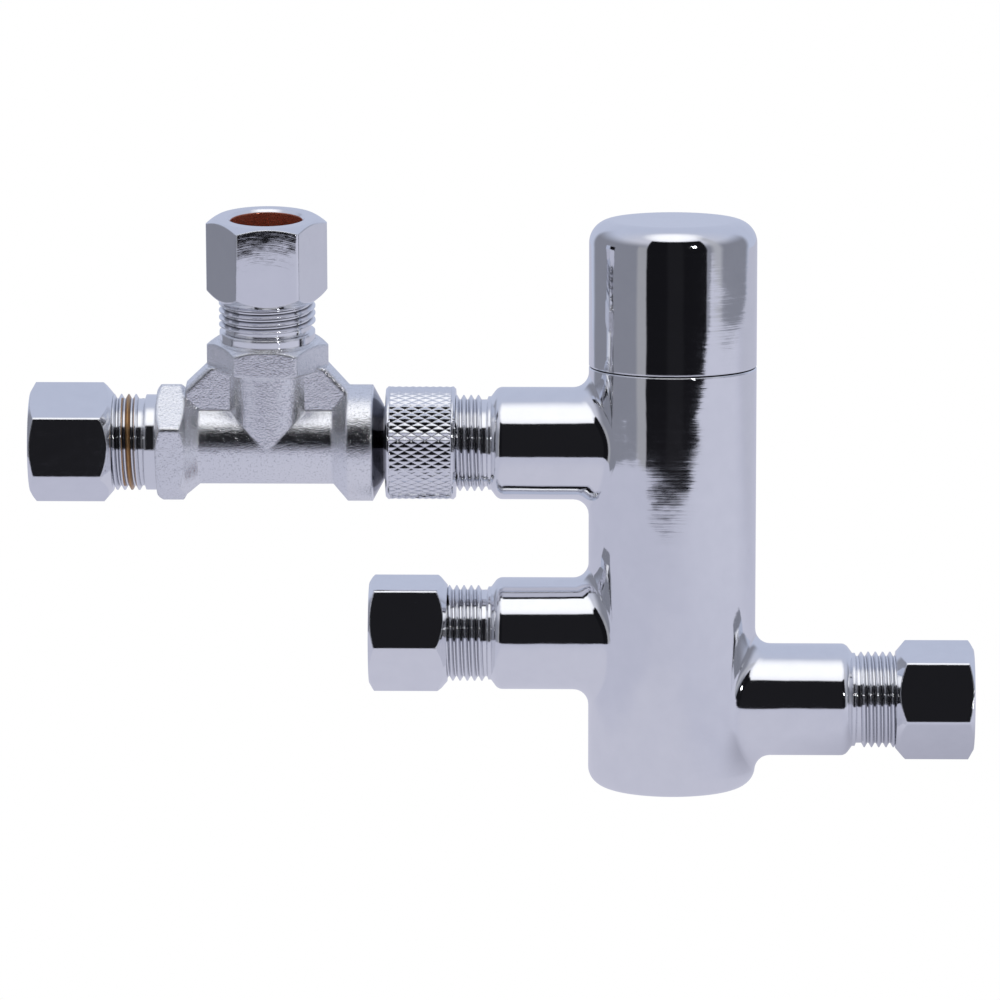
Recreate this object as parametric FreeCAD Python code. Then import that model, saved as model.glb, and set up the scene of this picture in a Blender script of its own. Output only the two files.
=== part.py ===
import FreeCAD, Part
import math
import os

# Thermostatic mixing valve for 15 mm copper pipe, with a tee on its cold inlet.
# Millimetres. The origin is the middle of the body's flat base, on the body's axis.
# +Z runs up the body, +X to the mixed outlet, -X to the two inlets and the tee, -Y to the front.

# Body and cap; the body's radius is worked out from the cartridge inside it
BODY_HEIGHT = 92.7
BASE_EDGE_R = 4.0
BASE_THICKNESS = 6.0
CAP_HEIGHT = 32.0
CAP_EDGE_R = 5.0
CAP_WALL = 2.0
CAP_TOP_THICKNESS = 3.2
SPLIT_CHAMFER = 0.3

# Ports: places of their axes, and the bosses round them
OUTLET_Z = 19.0
HOT_ABOVE_OUTLET = 14.5
HOT_Z = OUTLET_Z + HOT_ABOVE_OUTLET
COLD_BELOW_RIM = 17.1
COLD_Z = BODY_HEIGHT - COLD_BELOW_RIM
BOSS_R = 12.25
BOSS_LENGTH = 38.0
BOSS_FILLET_R = 3.5
BOSS_EDGE_R = 2.0
SHOULDER_LENGTH = 2.4
SPIGOT_LAND_R = 10.2
SPIGOT_LAND_LENGTH = 0.9
PORT_R = 5.25

# Parallel pipe thread, 16 turns to the inch, modelled at its root
THREAD_PITCH = 25.4 / 16
THREAD_CREST_R = 10.48
THREAD_DEPTH = 0.617 * THREAD_PITCH
THREAD_ROOT_R = THREAD_CREST_R - THREAD_DEPTH

# Pipe socket in every spigot, for 15 mm pipe
PIPE_SOCKET_R = 7.6
PIPE_SOCKET_DEPTH = 13.0
MOUTH_R = 8.9
MOUTH_CHAMFER_LENGTH = 2.3

# Compression nuts and olives
NUT_FLATS = 23.0
NUT_CORNER_R = 1.0
VALVE_NUT_LENGTH = 17.1
TEE_NUT_LENGTH = 18.1
NUT_TURNS_ENGAGED = 2.75
NUT_ENGAGED = NUT_TURNS_ENGAGED * THREAD_PITCH
NUT_MOUTH_R = 7.8
NUT_MOUTH_CHAMFER = 0.7
NUT_OUTER_CHAMFER = 1.3
NUT_OUTER_FACE_R = 11.0
NUT_INNER_CHAMFER = 2.3
NUT_INNER_FACE_R = 10.6
OLIVE_LENGTH = 6.6
OLIVE_TAPER_LENGTH = 1.8
OLIVE_END_R = 8.05
OLIVE_R = 8.8
OLIVE_PLAY = 0.12
HOT_THREAD_SHOWN = 8.7
OUTLET_THREAD_SHOWN = 8.6
HOT_NUT_TURN = 24.5
OUTLET_NUT_TURN = 17.5

# Running clearances
RUNNING = 0.05
SLACK = 0.3

# Tee: distances are from the crossing of its run and its branch
TEE_LEAN = 6.0
TEE_BARREL_R = 9.0
TEE_BORE_R = 6.3
TEE_HEX_FLATS = 23.2
TEE_HEX_CORNER_R = 1.0
TEE_HEX_CHAMFER = 1.1
TEE_HEX_FACE_R = 11.6
TEE_LAND_R = 10.4
TEE_RUN_HEX_START = 17.8
TEE_RUN_HEX_LENGTH = 6.3
TEE_RUN_HEX_TURN = -4.0
TEE_RUN_LAND_LENGTH = 2.8
TEE_RUN_CONE_LENGTH = 2.9
TEE_RUN_CONE_R = 11.4
TEE_RUN_THREAD_SHOWN = 6.9
TEE_RUN_NUT_TURN = 6.5
TEE_BRANCH_HEX_START = 16.5
TEE_BRANCH_HEX_LENGTH = 6.5
TEE_BRANCH_LAND_LENGTH = 2.5
TEE_BRANCH_THREAD_SHOWN = 6.7
TEE_BRANCH_NUT_TURN = 3.5
TEE_FLANGE_R = 12.7
TEE_FLANGE_START = 17.4
TEE_FLANGE_LENGTH = 5.4
TEE_FLANGE_CONE_LENGTH = 3.2
TEE_FLANGE_END_LENGTH = 2.4
TEE_FLANGE_END_R = 8.3
TEE_WEB_THICKNESS = 8.0
TEE_WEB_EDGE_R = 1.2

# Union between the cold inlet and the tee
COLD_THREAD_SHOWN = 6.8
UNION_NUT_R = 12.3
UNION_NUT_START = BOSS_LENGTH + SHOULDER_LENGTH + COLD_THREAD_SHOWN
UNION_NUT_LENGTH = 15.2
UNION_NUT_CHAMFER = 0.5
UNION_TURNS_ENGAGED = 4
UNION_TO_FLANGE = 0.5
TEE_X = -(UNION_NUT_START + UNION_NUT_LENGTH + UNION_TO_FLANGE
          + TEE_FLANGE_END_LENGTH + TEE_FLANGE_LENGTH + TEE_FLANGE_START)
UNION_WASHER_THICKNESS = 2.0
UNION_WASHER_R = 9.0
TAIL_R = 8.0
TAIL_RING_SETBACK = 1.0
SNAP_RING_THICKNESS = 1.4
SNAP_RING_R = 9.2
SNAP_RING_DEPTH = 0.7
SNAP_RING_GAP = 3.0

# Cartridge: a ported sleeve in the body's bore; the walls round it add up to the body
SLEEVE_BORE_R = 11.0
SLEEVE_WALL = 2.0
SLEEVE_WAIST_R = SLEEVE_BORE_R + SLEEVE_WALL
SLEEVE_LAND_RISE = 1.45
SLEEVE_R = SLEEVE_WAIST_R + SLEEVE_LAND_RISE
SLEEVE_ABOVE_OUTLET = 0.35
SLEEVE_SEAT_Z = OUTLET_Z + PORT_R + SLEEVE_ABOVE_OUTLET
SLEEVE_BELOW_RIM = 8.0
SLEEVE_TOP_Z = BODY_HEIGHT - SLEEVE_BELOW_RIM
SLEEVE_LIP_WIDTH = 2.0
SLEEVE_LIP_R = SLEEVE_BORE_R - SLEEVE_LIP_WIDTH
SLEEVE_LIP_HEIGHT = 1.8
SLEEVE_LOWER_LAND = 3.6
SLEEVE_UPPER_LAND = 3.7
SLEEVE_MIDDLE_LAND = 8.0
SLEEVE_WINDOWS = 4
SLEEVE_WINDOW_WIDTH = 8.0
WINDOW_MARGIN = 2.5
CHAMBER_LEDGE = 1.45
CHAMBER_R = SLEEVE_R - CHAMBER_LEDGE
BONNET_THREAD_RISE = 0.55
BONNET_THREAD_R = SLEEVE_R + BONNET_THREAD_RISE
BONNET_FLANGE_RISE = 1.0
BONNET_FLANGE_R = BONNET_THREAD_R + BONNET_FLANGE_RISE
BONNET_RECESS_R = BONNET_FLANGE_R + RUNNING
CAP_OVER_BONNET = 0.25
BODY_R = BONNET_FLANGE_R + CAP_OVER_BONNET + CAP_WALL

# O-rings: wire thickness, which is also the depth of their grooves
ORING_WIRE = 1.6
ORING_GROOVE_WIDTH = 2.0

# Hot seat tube, shuttle, wax element and return spring
HOT_TUBE_GAP = 1.7
HOT_TUBE_R = SLEEVE_BORE_R - HOT_TUBE_GAP
HOT_TUBE_WALL = 1.1
HOT_TUBE_BORE_R = HOT_TUBE_R - HOT_TUBE_WALL
HOT_SEAT_THICKNESS = 2.0
HOT_SEAT_GAP = 0.7
HOT_SEAT_R = SLEEVE_BORE_R - HOT_SEAT_GAP
HOT_TUBE_FOOT_HEIGHT = 1.8
SPRING_LEDGE_WIDTH = 1.8
SPRING_LEDGE_R = HOT_TUBE_BORE_R - SPRING_LEDGE_WIDTH
SPRING_LEDGE_HEIGHT = 1.5
SHUTTLE_GAP = 0.9
SHUTTLE_TRAVEL = 0.7
SHUTTLE_LENGTH = 14.2
SHUTTLE_WALL = 2.1
SHUTTLE_HUB_R = 6.6
SHUTTLE_HUB_HEIGHT = 2.4
SHUTTLE_SPOKES = 4
SHUTTLE_SPOKE_WIDTH = 2.6
ELEMENT_R = 4.9
ELEMENT_BELOW_HUB = 19.0
ELEMENT_COLLAR_R = 6.0
ELEMENT_COLLAR_HEIGHT = 2.0
ELEMENT_GUIDE_R = 3.1
ELEMENT_GUIDE_LENGTH = 7.0
ROD_R = 1.5
ROD_LENGTH = 14.0
ROD_DEPTH_IN_ELEMENT = 6.0
RETURN_SPRING_WIRE = 1.2
RETURN_SPRING_R = (HOT_TUBE_BORE_R + SPRING_LEDGE_R) / 2
RETURN_SPRING_TURNS = 5

# Cold seat, bonnet, overload unit and adjusting spindle
COLD_SEAT_BELOW_PORT = 11.1
COLD_SEAT_Z = COLD_Z - COLD_SEAT_BELOW_PORT
COLD_SEAT_THICKNESS = 2.0
COLD_SEAT_GAP = 0.6
COLD_SEAT_R = SLEEVE_BORE_R - COLD_SEAT_GAP
COLD_SEAT_HOLE_R = 3.5
COLD_SEAT_SPIGOT_HEIGHT = 2.5
COLD_SEAT_SPIGOT_WALL = 1.2
BONNET_THREAD_LENGTH = 6.0
BONNET_FLANGE_HEIGHT = 7.3
BONNET_HEX_FLATS = 24.0
BONNET_HEX_HEIGHT = 6.0
BONNET_NOSE_R = 8.6
BONNET_BORE_R = 7.3
BONNET_BORE_FLAT = 6.4
BONNET_NECK_LENGTH = 7.0
STEM_R = 4.5
STEM_HEAD_HEIGHT = 12.0
STEM_HEAD_FLATS = 8.0
STEM_SOCKET_FLATS = 4.0
STEM_SOCKET_DEPTH = 5.0
STEM_COLLAR_R = 6.0
STEM_COLLAR_HEIGHT = 2.3
STEM_GROOVE_ABOVE_NECK = 2.0
SPINDLE_SCREW_R = 3.95
SPINDLE_SCREW_LENGTH = 8.3
CIRCLIP_THICKNESS = 1.0
CIRCLIP_R = 6.4
CIRCLIP_DEPTH = 0.8
CIRCLIP_GAP = 3.2
CARRIER_R = BONNET_BORE_R - 2 * RUNNING
CARRIER_FLAT = BONNET_BORE_FLAT - 2 * RUNNING
CARRIER_TRAVEL = 2.0
CARRIER_FOOT_ROOM = 0.8
CARRIER_HEAD_ROOM = 1.1
CARRIER_THREAD_LENGTH = 7.6
CARRIER_BORE_R = 5.6
PLUNGER_R = 5.5
PLUNGER_STEM_R = 3.0
PLUNGER_HEAD_HEIGHT = 2.0
PLUNGER_STEM_HEIGHT = 3.0
PLUNGER_SOCKET_DEPTH = 1.6
RETAINING_RING_R = CARRIER_BORE_R
RETAINING_RING_SETBACK = 0.8
RETAINING_RING_HOLE_R = 3.6
RETAINING_RING_THICKNESS = 1.2
OVERLOAD_SPRING_WIRE = 1.3
OVERLOAD_SPRING_R = 4.3
OVERLOAD_SPRING_TURNS = 4

# Check valves and strainers in the two inlets: distances are from the body's axis
CHECK_R = 6.5
CHECK_POCKET_R = 6.6
CHECK_START = 20.0
CHECK_LENGTH = 13.0
CHECK_WALL = 1.4
CHECK_SEAT_R = 3.8
CHECK_SEAT_THICKNESS = 1.6
CHECK_SPIDER_THICKNESS = 1.4
CHECK_SPIDER_HUB_R = 2.4
CHECK_SPIDER_HOLE_R = 1.3
CHECK_SPIDER_ARM = 1.3
POPPET_R = 4.5
POPPET_THICKNESS = 1.4
POPPET_STEM_R = 1.0
POPPET_STEM_PAST_HUB = 1.5
CHECK_SPRING_WIRE = 0.5
CHECK_SPRING_R = 2.0
CHECK_SPRING_TURNS = 3
STRAINER_R = 6.5
STRAINER_RIM = 0.8
STRAINER_DEPTH = 3.6
STRAINER_FLOOR = 0.6
STRAINER_HOLE_R = 0.65

UP = FreeCAD.Vector(0, 0, 1)
ALONG_X = FreeCAD.Vector(1, 0, 0)
ALONG_Y = FreeCAD.Vector(0, 1, 0)
ORIGIN = FreeCAD.Vector(0, 0, 0)


def turned(profile):
    """A solid of revolution about Z, from a closed outline of (radius, height) points."""
    points = [FreeCAD.Vector(r, 0, z) for r, z in profile]
    face = Part.Face(Part.makePolygon(points + points[:1]))
    return face.revolve(ORIGIN, UP, 360)


def cylinder(radius, low, high):
    return Part.makeCylinder(radius, high - low, FreeCAD.Vector(0, 0, low))


def tube(outer, inner, low, high):
    return cylinder(outer, low, high).cut(cylinder(inner, low, high))


def prism(points, low, high):
    """A straight prism along Z over (x, y) points."""
    outline = [FreeCAD.Vector(x, y, low) for x, y in points]
    face = Part.Face(Part.makePolygon(outline + outline[:1]))
    return face.extrude(FreeCAD.Vector(0, 0, high - low))


def hexagon(flats, low, high):
    """A hexagonal prism with one flat facing -Y."""
    corner = flats / 2 / math.cos(math.radians(30))
    turns = [math.radians(60 * i) for i in range(6)]
    return prism([(corner * math.cos(t), corner * math.sin(t)) for t in turns], low, high)


def hexagon_bar(flats, corner_r, low, high):
    """A hexagonal prism whose corners are rounded, as on drawn or cast hexagons."""
    bar = hexagon(flats, low, high)
    upright = [e for e in bar.Edges if e.BoundBox.ZLength > (high - low) / 2]
    return bar.makeFillet(corner_r, upright)


def block(centre_x, width, centre_y, depth, low, high):
    corner = FreeCAD.Vector(centre_x - width / 2, centre_y - depth / 2, low)
    return Part.makeBox(width, depth, high - low, corner)


def wire_section(radius, height, thickness):
    """The eight-sided section of a round wire that runs about Z."""
    corner = thickness / 2 / math.cos(math.radians(22.5))
    turns = [math.radians(45 * i + 22.5) for i in range(8)]
    points = [
        FreeCAD.Vector(radius + corner * math.cos(t), 0, height + corner * math.sin(t))
        for t in turns
    ]
    return Part.makePolygon(points + points[:1])


def coil(radius, wire, turns, low, high):
    """A helical spring about Z whose wire lies between two heights."""
    rise = high - low - wire
    path = Part.makeHelix(rise / turns, rise, radius)
    section = wire_section(radius, 0, wire)
    spring = Part.Wire(path.Edges).makePipeShell([section], True, True)
    spring.translate(FreeCAD.Vector(0, 0, low + wire / 2))
    return spring


def oring(centre_radius, height):
    """An O-ring about Z."""
    section = Part.Face(wire_section(centre_radius, height, ORING_WIRE))
    return section.revolve(ORIGIN, UP, 360)


def groove(outer, bottom, height):
    """The cutter of an O-ring groove about Z."""
    half = ORING_GROOVE_WIDTH / 2
    return tube(outer + 1, bottom, height - half, height + half)


def around(shape, count):
    """Copies of a shape spaced evenly about Z, fused."""
    turned_copies = []
    for i in range(count):
        copy = shape.copy()
        copy.rotate(ORIGIN, UP, 360 * i / count)
        turned_copies.append(copy)
    return turned_copies[0].multiFuse(turned_copies[1:])


def placed(shape, tilt_axis, angle, at):
    copy = shape.copy()
    copy.rotate(ORIGIN, tilt_axis, angle)
    copy.translate(at)
    return copy


def to_left(shape, height):
    """A part made along +Z, laid along -X on an axis at this height."""
    return placed(shape, ALONG_Y, -90, FreeCAD.Vector(0, 0, height))


def to_right(shape, height):
    """A part made along +Z, laid along +X on an axis at this height."""
    return placed(shape, ALONG_Y, 90, FreeCAD.Vector(0, 0, height))


def leaned(shape):
    """A part of the tee, made upright with the crossing at the origin, set in its place."""
    return placed(shape, ALONG_X, TEE_LEAN, FreeCAD.Vector(TEE_X, 0, COLD_Z))


def spun(shape, degrees):
    """A part turned about its own axis, Z."""
    return placed(shape, UP, degrees, ORIGIN)


# Spigots, nuts and olives, each made along +Z

def spigot_bore(end):
    """The cutter of a pipe socket with its chamfered mouth."""
    return turned([
        (0, end - PIPE_SOCKET_DEPTH),
        (PIPE_SOCKET_R, end - PIPE_SOCKET_DEPTH),
        (PIPE_SOCKET_R, end - MOUTH_CHAMFER_LENGTH),
        (MOUTH_R, end),
        (MOUTH_R, end + 1),
        (0, end + 1),
    ])


def olive_start(spigot_end):
    """Where an olive's inner end lies in the mouth of its spigot."""
    slope = (MOUTH_R - PIPE_SOCKET_R) / MOUTH_CHAMFER_LENGTH
    return spigot_end - (MOUTH_R - OLIVE_END_R) / slope + OLIVE_PLAY


def olive(spigot_end):
    start = olive_start(spigot_end)
    end = start + OLIVE_LENGTH
    return turned([
        (PIPE_SOCKET_R, start),
        (OLIVE_END_R, start),
        (OLIVE_R, start + OLIVE_TAPER_LENGTH),
        (OLIVE_R, end - OLIVE_TAPER_LENGTH),
        (OLIVE_END_R, end),
        (PIPE_SOCKET_R, end),
    ])


def compression_nut(spigot_end, length):
    """A hexagonal nut whose thread ends in a cone that bears on the olive."""
    low = spigot_end - NUT_ENGAGED
    high = low + length
    corner = NUT_FLATS / 2 / math.cos(math.radians(30))
    edges = turned([
        (0, low),
        (NUT_INNER_FACE_R, low),
        (corner, low + NUT_INNER_CHAMFER),
        (corner, high - NUT_OUTER_CHAMFER),
        (NUT_OUTER_FACE_R, high),
        (0, high),
    ])
    thread_r = THREAD_ROOT_R + RUNNING
    cone_end = olive_start(spigot_end) + OLIVE_LENGTH + OLIVE_PLAY
    cone_slope = (OLIVE_R - OLIVE_END_R) / OLIVE_TAPER_LENGTH
    cone_start = cone_end - (thread_r - OLIVE_END_R) / cone_slope
    bore = turned([
        (0, low - 1),
        (thread_r, low - 1),
        (thread_r, cone_start),
        (NUT_MOUTH_R, cone_end + (OLIVE_END_R - NUT_MOUTH_R) / cone_slope),
        (NUT_MOUTH_R, high - NUT_MOUTH_CHAMFER),
        (NUT_MOUTH_R + NUT_MOUTH_CHAMFER + 1, high + 1),
        (0, high + 1),
    ])
    return hexagon_bar(NUT_FLATS, NUT_CORNER_R, low, high).common(edges).cut(bore)


# Valve body

def inlet_end(shown):
    """The end of a spigot whose nut leaves this much thread bare."""
    return BOSS_LENGTH + SHOULDER_LENGTH + shown + NUT_ENGAGED


HOT_END = inlet_end(HOT_THREAD_SHOWN)
OUTLET_END = inlet_end(OUTLET_THREAD_SHOWN)
COLD_END = UNION_NUT_START + UNION_TURNS_ENGAGED * THREAD_PITCH


def boss(end):
    """The outside of a port: boss, rounded shoulder, land, thread core."""
    land_end = BOSS_LENGTH + SHOULDER_LENGTH
    port = turned([
        (0, 0),
        (BOSS_R, 0),
        (BOSS_R, BOSS_LENGTH),
        (SPIGOT_LAND_R, land_end - SPIGOT_LAND_LENGTH),
        (SPIGOT_LAND_R, land_end - SPLIT_CHAMFER),
        (THREAD_ROOT_R, land_end),
        (THREAD_ROOT_R, end),
        (0, end),
    ])
    corner = [e for e in port.Edges if e.BoundBox.ZLength < 0.01
              and abs(e.BoundBox.ZMin - BOSS_LENGTH) < 0.01 and e.BoundBox.XLength > BOSS_R]
    return port.makeFillet(BOSS_EDGE_R, corner)


def inlet_waterway(end):
    """The waterway of an inlet: port, check valve pocket, pipe socket."""
    pocket = cylinder(CHECK_POCKET_R, CHECK_START, end)
    return cylinder(PORT_R, 0, end).fuse(pocket).fuse(spigot_bore(end))


# Turns the start line of the round body to its back, away from the bosses
SEAM_TURN = 90


def near_body(edge):
    """Whether an edge is a seam between a boss and the round body."""
    box = edge.BoundBox
    inside = max(abs(box.XMin), abs(box.XMax)) < BODY_R + 1
    return inside and box.YLength > BOSS_R and box.ZLength > BOSS_R


def valve_body():
    core = spun(cylinder(BODY_R, 0, BODY_HEIGHT), SEAM_TURN)
    ports = [
        to_left(boss(COLD_END), COLD_Z),
        to_left(boss(HOT_END), HOT_Z),
        to_right(boss(OUTLET_END), OUTLET_Z),
    ]
    outside = core.multiFuse(ports).removeSplitter()
    seams = [e for e in outside.Edges if near_body(e)]
    outside = outside.makeFillet(BOSS_FILLET_R, seams)
    foot = [e for e in outside.Edges if e.BoundBox.ZMax < 0.01]
    outside = outside.makeFillet(BASE_EDGE_R, foot)
    rim = [e for e in outside.Edges if e.BoundBox.ZMin > BODY_HEIGHT - 0.01]
    outside = outside.makeChamfer(SPLIT_CHAMFER, rim)
    bonnet_seat = BODY_HEIGHT - SPLIT_CHAMFER - BONNET_RECESS_DEPTH
    bore = turned([
        (0, BASE_THICKNESS),
        (CHAMBER_R, BASE_THICKNESS),
        (CHAMBER_R, SLEEVE_SEAT_Z),
        (SLEEVE_R + RUNNING, SLEEVE_SEAT_Z),
        (SLEEVE_R + RUNNING, SLEEVE_TOP_Z),
        (BONNET_THREAD_R + RUNNING, SLEEVE_TOP_Z),
        (BONNET_THREAD_R + RUNNING, bonnet_seat),
        (BONNET_RECESS_R, bonnet_seat),
        (BONNET_RECESS_R, BODY_HEIGHT + 1),
        (0, BODY_HEIGHT + 1),
    ])
    outlet_bore = cylinder(PORT_R, 0, OUTLET_END).fuse(spigot_bore(OUTLET_END))
    waterways = [
        to_left(inlet_waterway(COLD_END), COLD_Z),
        to_left(inlet_waterway(HOT_END), HOT_Z),
        to_right(outlet_bore, OUTLET_Z),
    ]
    return outside.cut(bore.multiFuse(waterways))


# The flange of the bonnet sinks this far into the body
BONNET_SEAT_Z = SLEEVE_TOP_Z + BONNET_THREAD_LENGTH
BONNET_RECESS_DEPTH = BODY_HEIGHT - SPLIT_CHAMFER - BONNET_SEAT_Z


def cover_cap():
    low = BODY_HEIGHT
    high = BODY_HEIGHT + CAP_HEIGHT
    outside = cylinder(BODY_R, low, high)
    top = [e for e in outside.Edges if e.BoundBox.ZMin > high - 0.01]
    outside = outside.makeFillet(CAP_EDGE_R, top)
    rim = [e for e in outside.Edges if e.BoundBox.ZMax < low + 0.01]
    outside = outside.makeChamfer(SPLIT_CHAMFER, rim)
    return outside.cut(cylinder(BODY_R - CAP_WALL, low - 1, high - CAP_TOP_THICKNESS))


# Cartridge, with its heights counted down from the cold seat

SHUTTLE_R = SLEEVE_BORE_R - RUNNING
SHUTTLE_TOP_Z = COLD_SEAT_Z - SHUTTLE_GAP
SHUTTLE_BOTTOM_Z = SHUTTLE_TOP_Z - SHUTTLE_LENGTH
SHUTTLE_MIDDLE_Z = (SHUTTLE_BOTTOM_Z + SHUTTLE_TOP_Z) / 2
SHUTTLE_GROOVE_R = SHUTTLE_R - ORING_WIRE
HUB_TOP_Z = SHUTTLE_MIDDLE_Z + SHUTTLE_HUB_HEIGHT / 2
HUB_BOTTOM_Z = SHUTTLE_MIDDLE_Z - SHUTTLE_HUB_HEIGHT / 2
HOT_TUBE_TOP_Z = SHUTTLE_BOTTOM_Z - SHUTTLE_GAP
SLEEVE_MIDDLE_Z = SHUTTLE_MIDDLE_Z
SLEEVE_HOT_TOP = SLEEVE_MIDDLE_Z - SLEEVE_MIDDLE_LAND / 2
SLEEVE_COLD_BOTTOM = SLEEVE_MIDDLE_Z + SLEEVE_MIDDLE_LAND / 2
SLEEVE_HOT_BOTTOM = SLEEVE_SEAT_Z + SLEEVE_LOWER_LAND
SLEEVE_COLD_TOP = SLEEVE_TOP_Z - SLEEVE_UPPER_LAND
SLEEVE_ORING_HEIGHTS = {
    "sleeve_oring_lower": (SLEEVE_SEAT_Z + SLEEVE_HOT_BOTTOM) / 2,
    "sleeve_oring_middle": SLEEVE_MIDDLE_Z,
    "sleeve_oring_upper": (SLEEVE_TOP_Z + SLEEVE_COLD_TOP) / 2,
}


def window_ring(low, high):
    """The cutter of a ring of windows between two heights."""
    window = block(SLEEVE_WAIST_R, SLEEVE_BORE_R, 0, SLEEVE_WINDOW_WIDTH, low, high)
    return spun(around(window, SLEEVE_WINDOWS), 180 / SLEEVE_WINDOWS)


def cartridge_sleeve():
    sleeve = turned([
        (SLEEVE_LIP_R, SLEEVE_SEAT_Z),
        (SLEEVE_R, SLEEVE_SEAT_Z),
        (SLEEVE_R, SLEEVE_HOT_BOTTOM),
        (SLEEVE_WAIST_R, SLEEVE_HOT_BOTTOM),
        (SLEEVE_WAIST_R, SLEEVE_HOT_TOP),
        (SLEEVE_R, SLEEVE_HOT_TOP),
        (SLEEVE_R, SLEEVE_COLD_BOTTOM),
        (SLEEVE_WAIST_R, SLEEVE_COLD_BOTTOM),
        (SLEEVE_WAIST_R, SLEEVE_COLD_TOP),
        (SLEEVE_R, SLEEVE_COLD_TOP),
        (SLEEVE_R, SLEEVE_TOP_Z),
        (SLEEVE_BORE_R, SLEEVE_TOP_Z),
        (SLEEVE_BORE_R, SLEEVE_SEAT_Z + SLEEVE_LIP_HEIGHT),
        (SLEEVE_LIP_R, SLEEVE_SEAT_Z + SLEEVE_LIP_HEIGHT),
    ])
    for height in SLEEVE_ORING_HEIGHTS.values():
        sleeve = sleeve.cut(groove(SLEEVE_R, SLEEVE_R - ORING_WIRE, height))
    hot = window_ring(SLEEVE_HOT_BOTTOM + WINDOW_MARGIN, HOT_TUBE_TOP_Z - WINDOW_MARGIN)
    cold = window_ring(COLD_SEAT_Z + WINDOW_MARGIN, SLEEVE_COLD_TOP - WINDOW_MARGIN)
    return sleeve.cut(hot).cut(cold)


def sleeve_orings():
    centre = SLEEVE_R - ORING_WIRE / 2
    return {name: oring(centre, z) for name, z in SLEEVE_ORING_HEIGHTS.items()}


def hot_seat_tube():
    """The tube that carries mixed water down past the hot port; its top is the hot seat."""
    low = SLEEVE_SEAT_Z + SLEEVE_LIP_HEIGHT
    return turned([
        (SPRING_LEDGE_R, low),
        (SLEEVE_BORE_R - RUNNING, low),
        (SLEEVE_BORE_R - RUNNING, low + HOT_TUBE_FOOT_HEIGHT),
        (HOT_TUBE_R, low + HOT_TUBE_FOOT_HEIGHT),
        (HOT_TUBE_R, HOT_TUBE_TOP_Z - HOT_SEAT_THICKNESS),
        (HOT_SEAT_R, HOT_TUBE_TOP_Z - HOT_SEAT_THICKNESS),
        (HOT_SEAT_R, HOT_TUBE_TOP_Z),
        (HOT_TUBE_BORE_R, HOT_TUBE_TOP_Z),
        (HOT_TUBE_BORE_R, low + SPRING_LEDGE_HEIGHT),
        (SPRING_LEDGE_R, low + SPRING_LEDGE_HEIGHT),
    ])


def shuttle_piston():
    """The ring that slides between the seats, with a spider that carries the wax element."""
    ring = tube(SHUTTLE_R, SHUTTLE_R - SHUTTLE_WALL, SHUTTLE_BOTTOM_Z, SHUTTLE_TOP_Z)
    reach = SHUTTLE_R - SHUTTLE_WALL / 2
    spoke = block(reach / 2, reach, 0, SHUTTLE_SPOKE_WIDTH, HUB_BOTTOM_Z, HUB_TOP_Z)
    hub = cylinder(SHUTTLE_HUB_R, HUB_BOTTOM_Z, HUB_TOP_Z)
    body = ring.fuse(around(spoke, SHUTTLE_SPOKES)).fuse(hub)
    body = body.cut(cylinder(ELEMENT_R + RUNNING, HUB_BOTTOM_Z - 1, HUB_TOP_Z + 1))
    return body.cut(groove(SHUTTLE_R, SHUTTLE_GROOVE_R, SHUTTLE_MIDDLE_Z))


def wax_element():
    """The sealed wax capsule; its narrow top guides the push rod."""
    collar_top = HUB_TOP_Z + ELEMENT_COLLAR_HEIGHT
    guide_top = collar_top + ELEMENT_GUIDE_LENGTH
    capsule = turned([
        (0, HUB_BOTTOM_Z - ELEMENT_BELOW_HUB),
        (ELEMENT_R - 1, HUB_BOTTOM_Z - ELEMENT_BELOW_HUB),
        (ELEMENT_R, HUB_BOTTOM_Z - ELEMENT_BELOW_HUB + 1),
        (ELEMENT_R, HUB_TOP_Z),
        (ELEMENT_COLLAR_R, HUB_TOP_Z),
        (ELEMENT_COLLAR_R, collar_top),
        (ELEMENT_GUIDE_R, collar_top),
        (ELEMENT_GUIDE_R, guide_top),
        (0, guide_top),
    ])
    bottom = guide_top - ROD_DEPTH_IN_ELEMENT - CARRIER_TRAVEL - SHUTTLE_TRAVEL - SLACK
    return capsule.cut(cylinder(ROD_R + RUNNING, bottom, guide_top + 1))


ROD_BOTTOM_Z = HUB_TOP_Z + ELEMENT_COLLAR_HEIGHT + ELEMENT_GUIDE_LENGTH - ROD_DEPTH_IN_ELEMENT
ROD_TOP_Z = ROD_BOTTOM_Z + ROD_LENGTH


def element_push_rod():
    return cylinder(ROD_R, ROD_BOTTOM_Z, ROD_TOP_Z)


def return_spring():
    ledge = SLEEVE_SEAT_Z + SLEEVE_LIP_HEIGHT + SPRING_LEDGE_HEIGHT
    return coil(RETURN_SPRING_R, RETURN_SPRING_WIRE, RETURN_SPRING_TURNS, ledge, HUB_BOTTOM_Z)


# Cold seat, bonnet and overload unit

NOSE_BOTTOM_Z = COLD_SEAT_Z + COLD_SEAT_THICKNESS
COLD_SPIGOT_TOP_Z = NOSE_BOTTOM_Z + COLD_SEAT_SPIGOT_HEIGHT


def keyed_bore(radius, flat, low, high):
    """A round bore or bar with two flats, which keeps the carrier from turning."""
    return cylinder(radius, low, high).common(block(0, 3 * radius, 0, 2 * flat, low, high))


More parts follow.
